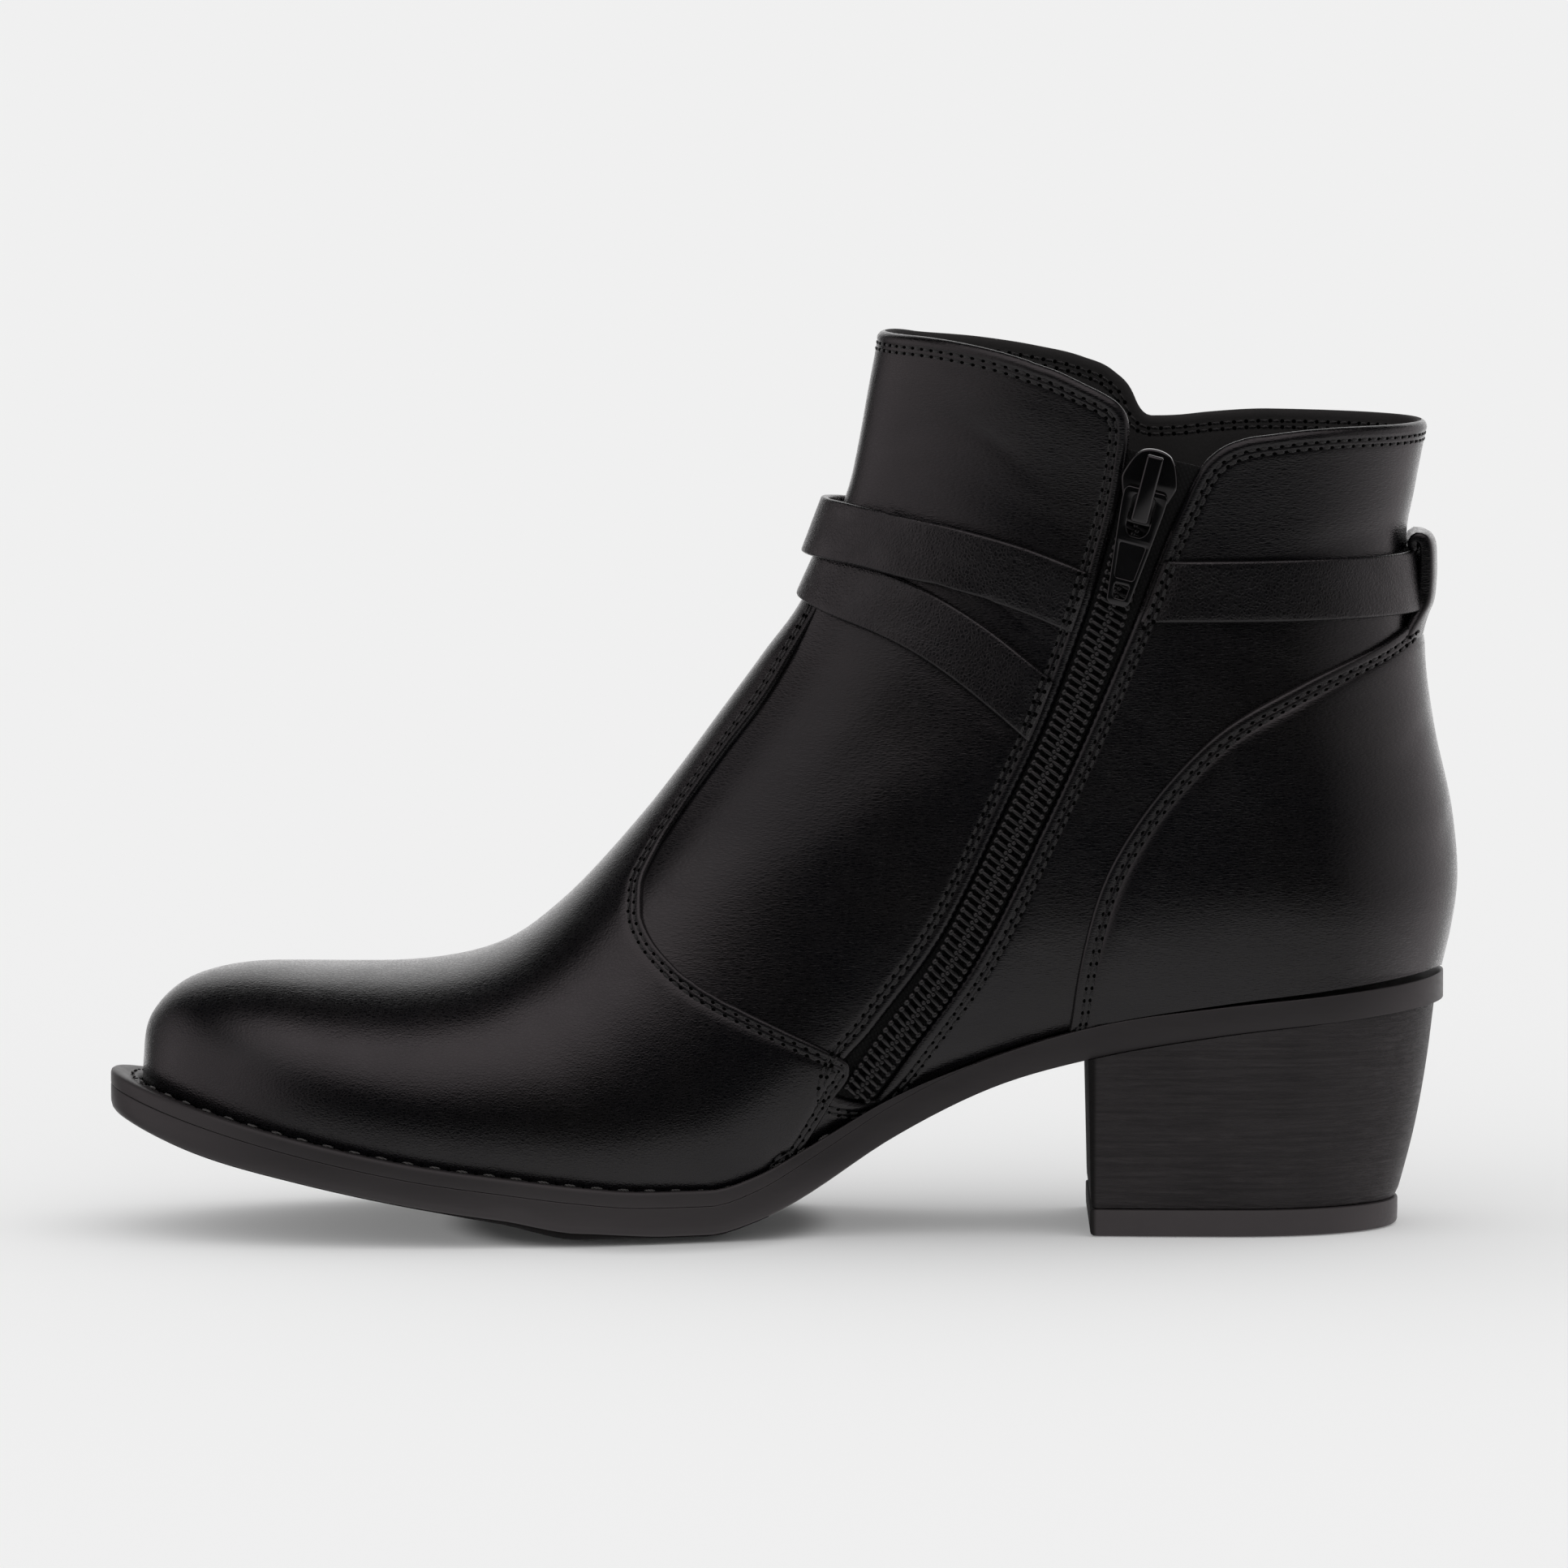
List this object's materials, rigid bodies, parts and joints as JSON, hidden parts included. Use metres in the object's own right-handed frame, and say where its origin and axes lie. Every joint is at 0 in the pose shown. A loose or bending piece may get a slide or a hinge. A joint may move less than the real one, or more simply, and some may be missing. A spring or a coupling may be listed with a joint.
{
  "type": "heeled ankle boot",
  "caption": "Right ankle boot in black leather with a side zip, crossing straps, a back loop, a welted sole and a block heel",
  "frame": {"origin": "bottom centre of the boot, on the floor", "axes": "toe towards -X, heel towards +X, the zip and inner side of the foot towards -Y, up +Z"},
  "size_m": [0.2521, 0.0881, 0.1677],
  "materials": {
    "upper_leather": "black smooth-grained leather with a soft sheen",
    "lining": "matt dark lining",
    "sole_rubber": "satin black sole edge",
    "stacked_heel": "black stacked-leather look with fine level lines",
    "lift_rubber": "matt black rubber",
    "zip_cloth": "black woven tape",
    "zip_plastic": "black coil",
    "black_metal": "glossy black paint"
  },
  "bodies": {
    "boot": {"upper": "upper_leather", "vamp": "upper_leather", "counter": "upper_leather", "wrap_strap": "upper_leather", "cross_strap": "upper_leather", "back_loop": "upper_leather", "insole": "lining", "welt": "sole_rubber", "outsole": "sole_rubber", "heel_block": "stacked_heel", "top_lift": "lift_rubber", "zip_tape": "zip_cloth", "zip_coil": "zip_plastic", "zip_slider": "black_metal"},
    "pull_tab": {"zip_pull_tab": "black_metal"}
  },
  "joints": [
    {"name": "pull_tab_swing", "type": "hinge", "parent": "boot", "child": "pull_tab", "pos_m": [0.06713, -0.03313, 0.13969], "axis": [-0.9669, 0.0411, 0.252], "range_deg": [0, 150]}
  ]
}
